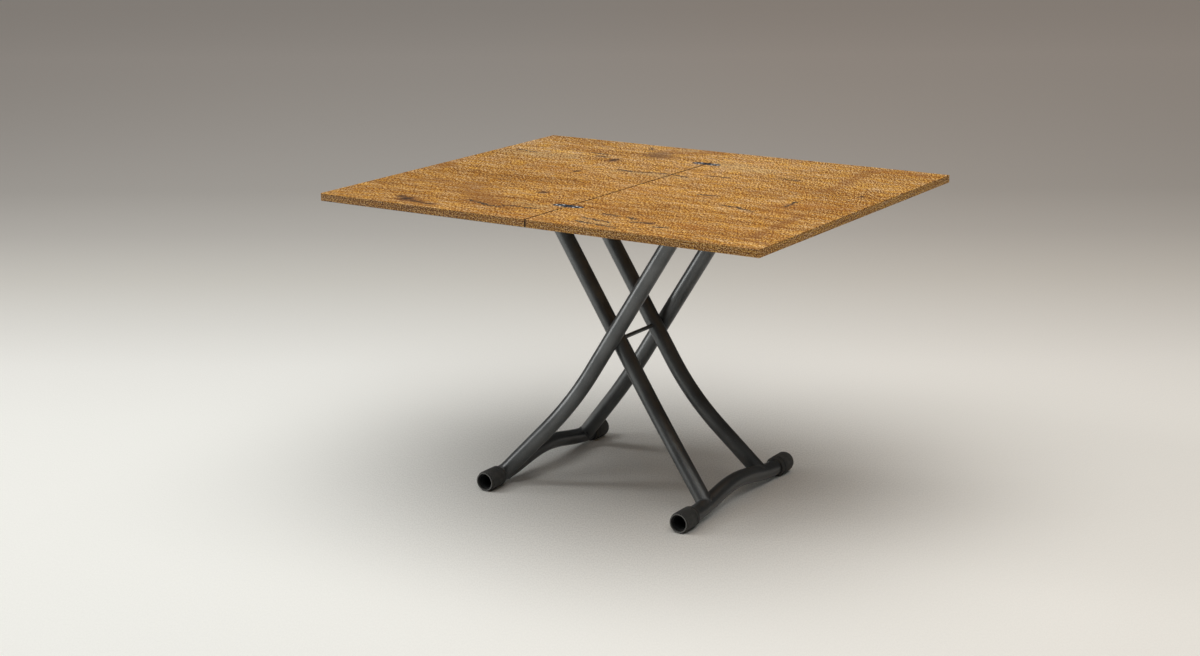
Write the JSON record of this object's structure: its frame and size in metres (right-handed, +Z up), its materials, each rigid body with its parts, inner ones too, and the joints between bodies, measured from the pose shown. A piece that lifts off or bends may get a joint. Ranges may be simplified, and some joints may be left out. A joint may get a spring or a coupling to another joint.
{
  "type": "extending table",
  "caption": "Extending table on a crossed-leg gas-spring lift: the hinged top folds shut, turns on a swivel and sinks from dining to coffee-table height.",
  "frame": {"origin": "on the floor under the middle of the open top", "axes": "+X along the open top, square to its seam; +Y along the seam and the foot bars; +Z up"},
  "size_m": [1.19, 1, 0.76],
  "materials": {
    "oak_print": "matt rustic oak print",
    "anthracite_powder_coat": "satin powder coat",
    "black_rubber": "matt",
    "zinc_plated_steel": "bright zinc",
    "graphite_hinge": "satin graphite",
    "black_nylon": "moulded nylon",
    "gas_cylinder_lacquer": "gloss lacquer",
    "ground_rod": "ground and plated"
  },
  "bodies": {
    "outer_feet": {"outer_foot_front": "black_rubber", "outer_foot_back": "black_rubber"},
    "outer_frame": {"outer_foot_bar": "anthracite_powder_coat", "outer_leg_front": "anthracite_powder_coat", "outer_leg_back": "anthracite_powder_coat", "outer_knuckle_front": "anthracite_powder_coat", "outer_knuckle_back": "anthracite_powder_coat", "pivot_rod": "anthracite_powder_coat", "pivot_spacer_front": "black_nylon", "pivot_spacer_back": "black_nylon"},
    "inner_frame": {"inner_foot_bar": "anthracite_powder_coat", "inner_leg_front": "anthracite_powder_coat", "inner_leg_back": "anthracite_powder_coat", "inner_top_tube": "anthracite_powder_coat", "slide_spigot_front": "zinc_plated_steel", "slide_spigot_back": "zinc_plated_steel"},
    "inner_feet": {"inner_foot_front": "black_rubber", "inner_foot_back": "black_rubber"},
    "slide_carriage": {"slide_block_front": "black_nylon", "slide_block_back": "black_nylon", "cylinder_eye": "zinc_plated_steel", "gas_cylinder": "gas_cylinder_lacquer"},
    "subframe": {"rail_front": "anthracite_powder_coat", "rail_back": "anthracite_powder_coat", "cross_member_left": "anthracite_powder_coat", "cross_member_middle": "anthracite_powder_coat", "cross_member_right": "anthracite_powder_coat", "plate_spacer_front": "anthracite_powder_coat", "plate_spacer_back": "anthracite_powder_coat", "swivel_base_plate": "anthracite_powder_coat", "swivel_bearing": "black_nylon", "hinge_pin_front": "zinc_plated_steel", "hinge_pin_back": "zinc_plated_steel", "glide_pad_left_front": "black_nylon", "glide_pad_left_back": "black_nylon", "glide_pad_right_front": "black_nylon", "glide_pad_right_back": "black_nylon", "gas_rod": "ground_rod", "release_bracket": "anthracite_powder_coat", "lever_pin": "zinc_plated_steel"},
    "lever": {"release_lever": "anthracite_powder_coat", "lever_grip": "black_nylon"},
    "unlocking_pin": {"release_pin": "zinc_plated_steel"},
    "fixed_top": {"fixed_leaf": "oak_print", "swivel_top_plate": "zinc_plated_steel", "swivel_bolt": "zinc_plated_steel", "swivel_nut": "zinc_plated_steel", "stop_pin": "zinc_plated_steel", "hinge_plate_fixed_front": "graphite_hinge", "hinge_plate_fixed_back": "graphite_hinge"},
    "hinge_links": {"hinge_link_front": "graphite_hinge", "hinge_link_back": "graphite_hinge"},
    "folding_top": {"folding_leaf": "oak_print", "hinge_plate_folding_front": "graphite_hinge", "hinge_plate_folding_back": "graphite_hinge"}
  },
  "joints": [
    {"name": "lift", "type": "hinge", "parent": "outer_feet", "child": "outer_frame", "pos_m": [-0.28, -0.019, 0.025], "axis": [0, 1, 0], "range_deg": [0, 45]},
    {"name": "scissor_pivot", "type": "hinge", "parent": "outer_frame", "child": "inner_frame", "pos_m": [0, -0.019, 0.39], "axis": [0, 1, 0], "range_deg": [-90, 0]},
    {"name": "inner_foot_turn", "type": "hinge", "parent": "inner_frame", "child": "inner_feet", "pos_m": [0.28, -0.019, 0.025], "axis": [0, 1, 0], "range_deg": [0, 45]},
    {"name": "slide_block_turn", "type": "hinge", "parent": "inner_frame", "child": "slide_carriage", "pos_m": [-0.19, -0.019, 0.69], "axis": [0, 1, 0], "range_deg": [0, 45]},
    {"name": "top_hinge", "type": "hinge", "parent": "outer_frame", "child": "subframe", "pos_m": [0.19, -0.019, 0.69], "axis": [0, 1, 0], "range_deg": [-45, 0]},
    {"name": "swivel", "type": "hinge", "parent": "subframe", "child": "fixed_top", "pos_m": [-0.21749, 0.06101, 0.741], "axis": [0, 0, 1], "range_deg": [0, 90]},
    {"name": "fold", "type": "hinge", "parent": "fixed_top", "child": "hinge_links", "pos_m": [-0.0035, 0, 0.757], "axis": [0, -1, 0], "range_deg": [0, 90]},
    {"name": "fold_second_pin", "type": "hinge", "parent": "hinge_links", "child": "folding_top", "pos_m": [0.0035, 0, 0.757], "axis": [0, -1, 0], "range_deg": [0, 90]},
    {"name": "release_pull", "type": "hinge", "parent": "subframe", "child": "lever", "pos_m": [0.2295, -0.019, 0.679], "axis": [0, -1, 0], "range_deg": [0, 12], "stiffness_Nm_per_rad": 0.5, "springref_deg": -11.46},
    {"name": "pin_push", "type": "slide", "parent": "subframe", "child": "unlocking_pin", "axis": [-1, 0, 0], "range_m": [0, 0.003]}
  ],
  "couplings": [
    {"joint": "scissor_pivot", "follows": "lift", "ratio": -2},
    {"joint": "inner_foot_turn", "follows": "lift", "ratio": 1},
    {"joint": "slide_block_turn", "follows": "lift", "ratio": 1},
    {"joint": "top_hinge", "follows": "lift", "ratio": -1},
    {"joint": "pin_push", "follows": "release_pull", "m_per_rad": 0.0125}
  ]
}
